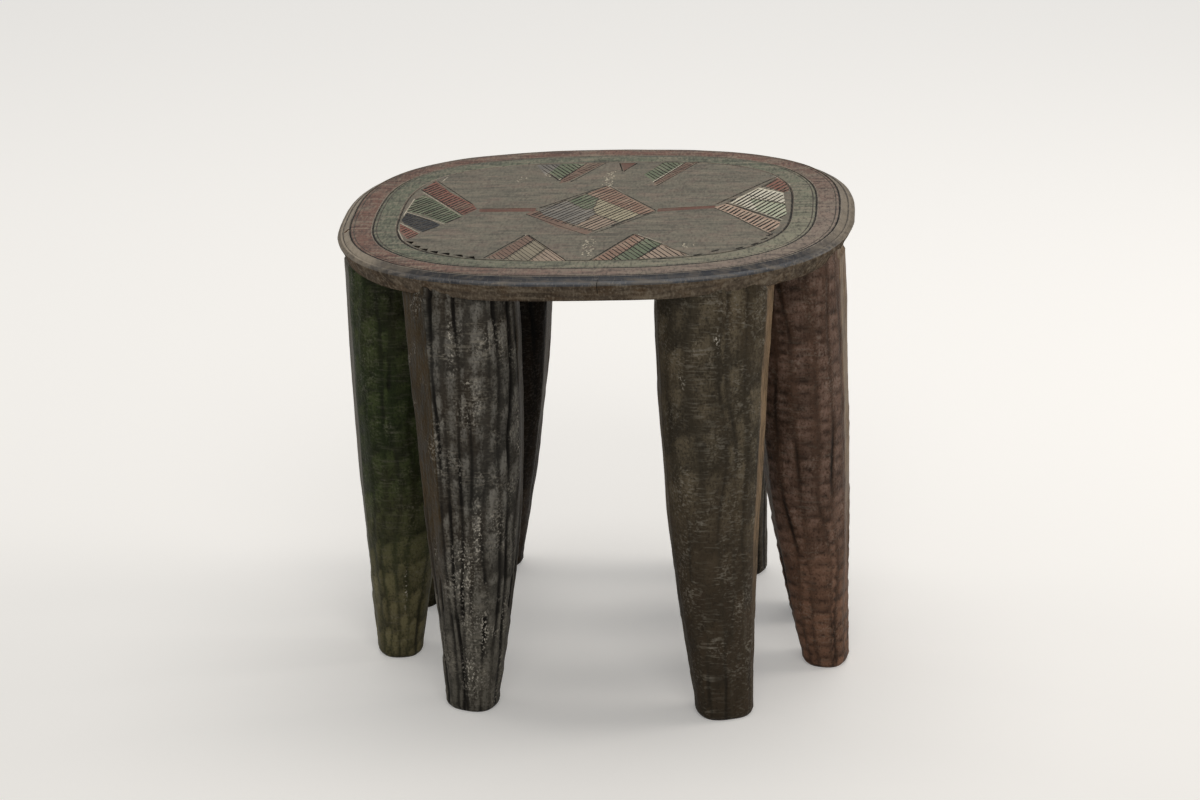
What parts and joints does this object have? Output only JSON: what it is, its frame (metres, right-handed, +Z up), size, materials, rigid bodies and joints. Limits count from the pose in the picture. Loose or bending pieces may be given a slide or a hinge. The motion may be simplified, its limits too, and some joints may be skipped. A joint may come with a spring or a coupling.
{
  "type": "carved wooden table",
  "caption": "Low carved wooden stool or side table: a rounded-square top with ringed, painted borders on stout tapering legs.",
  "frame": {"origin": "on the floor, under the middle of the object's bounding box", "axes": "+Z up, +X to the right as seen from the front, along the top's longer side, +Y towards the back"},
  "size_m": [0.4264, 0.378, 0.3874],
  "materials": {
    "tabletop": "worn paint and wax over carved wood",
    "leg_front_left": "worn charcoal black stain, adzed",
    "leg_front_right": "worn black and olive stain, adzed",
    "leg_right_front": "worn purple-brown stain, adzed",
    "leg_right_rear": "worn dark brown stain, adzed",
    "leg_rear_right": "worn dark stain, adzed",
    "leg_rear_left": "worn dark brown stain, adzed",
    "leg_left_rear": "worn dark green stain, adzed",
    "leg_left_front": "worn dark green stain, adzed"
  },
  "bodies": {
    "root": {"tabletop": "tabletop", "leg_front_left": "leg_front_left", "leg_front_right": "leg_front_right", "leg_right_front": "leg_right_front", "leg_right_rear": "leg_right_rear", "leg_rear_right": "leg_rear_right", "leg_rear_left": "leg_rear_left", "leg_left_rear": "leg_left_rear", "leg_left_front": "leg_left_front"}
  },
  "joints": []
}
